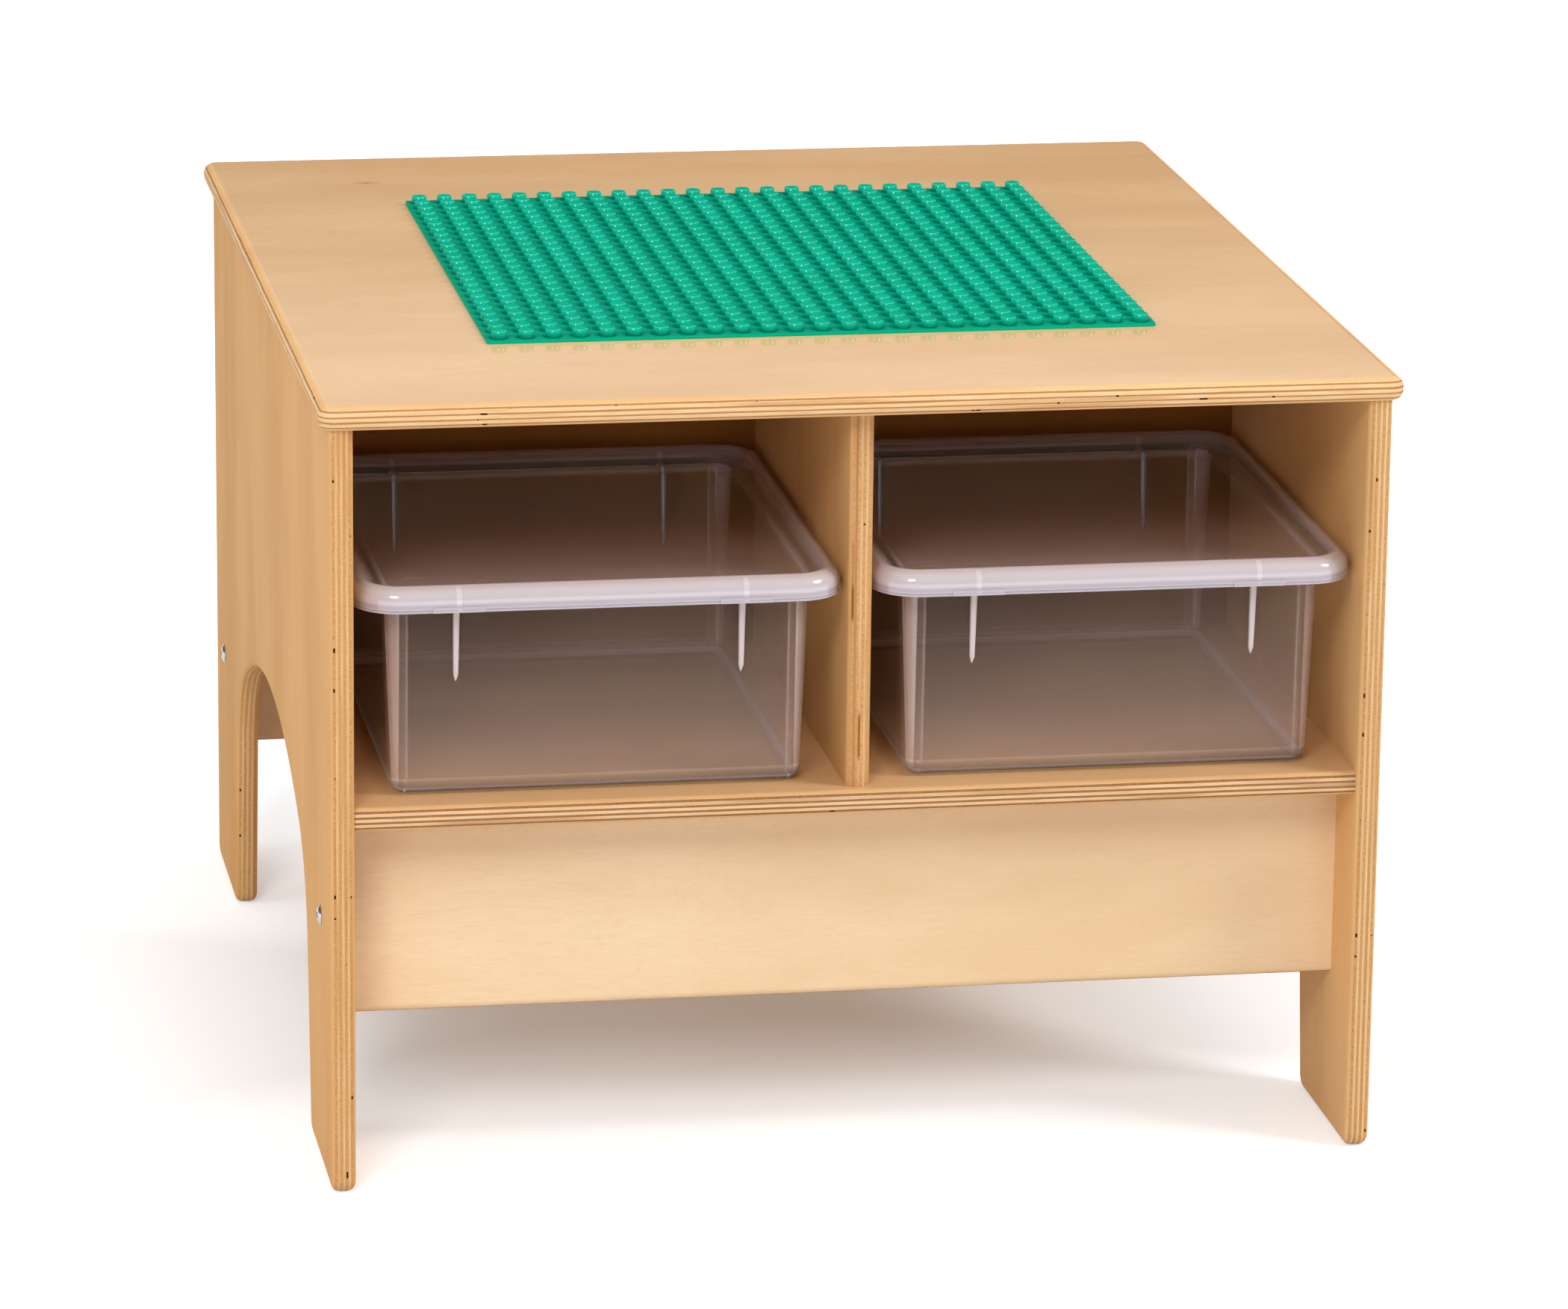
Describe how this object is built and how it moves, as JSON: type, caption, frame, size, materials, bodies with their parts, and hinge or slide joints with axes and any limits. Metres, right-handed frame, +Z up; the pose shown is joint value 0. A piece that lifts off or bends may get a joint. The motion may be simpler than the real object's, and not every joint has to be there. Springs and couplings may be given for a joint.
{
  "type": "kids table with storage",
  "caption": "Low birch ply play table with a studded building plate on the top, arched side panels and a divided shelf that holds lidded clear tubs.",
  "frame": {"origin": "on the floor, under the middle of the table", "axes": "+Z up, +X to the right as seen from the front, the front with the tubs faces -Y"},
  "size_m": [0.63, 0.7, 0.4766],
  "materials": {
    "top_ply": "clear gloss lacquer on pale birch ply, edges show the plies",
    "side_ply": "clear gloss lacquer on birch ply, upright grain",
    "shelf_ply": "clear lacquer on birch ply",
    "divider_ply": "clear lacquer on birch ply",
    "back_ply": "clear lacquer on thin birch ply",
    "rail_ply": "clear lacquer on birch ply, grain along the rail",
    "plate_plastic": "glossy green moulded plastic",
    "bolt_steel": "bright plated steel",
    "nut_steel": "zinc plated steel",
    "dowel_wood": "plain turned beech",
    "tub_plastic": "milky clear moulded plastic",
    "lid_plastic": "milky clear moulded plastic, glossy border"
  },
  "bodies": {
    "table": {"tabletop": "top_ply", "building_plate": "plate_plastic", "side_panel_left": "side_ply", "side_panel_right": "side_ply", "shelf": "shelf_ply", "divider": "divider_ply", "back_panel_left": "back_ply", "back_panel_right": "back_ply", "front_rail": "rail_ply", "rear_rail": "rail_ply", "rail_bolts": "bolt_steel", "barrel_nuts": "nut_steel", "rail_dowels": "dowel_wood", "shelf_dowels": "dowel_wood", "divider_dowels": "dowel_wood", "top_dowels": "dowel_wood"},
    "tub_left": {"tub_left": "tub_plastic"},
    "lid_left": {"lid_left": "lid_plastic"},
    "tub_right": {"tub_right": "tub_plastic"},
    "lid_right": {"lid_right": "lid_plastic"}
  },
  "joints": [
    {"name": "tub_left_slide", "type": "slide", "parent": "table", "child": "tub_left", "axis": [0, -1, 0], "range_m": [0, 0.34]},
    {"name": "lid_left_lift", "type": "slide", "parent": "tub_left", "child": "lid_left", "axis": [0, 0, 1], "range_m": [0, 0.088]},
    {"name": "tub_right_slide", "type": "slide", "parent": "table", "child": "tub_right", "axis": [0, -1, 0], "range_m": [0, 0.34]},
    {"name": "lid_right_lift", "type": "slide", "parent": "tub_right", "child": "lid_right", "axis": [0, 0, 1], "range_m": [0, 0.088]}
  ]
}
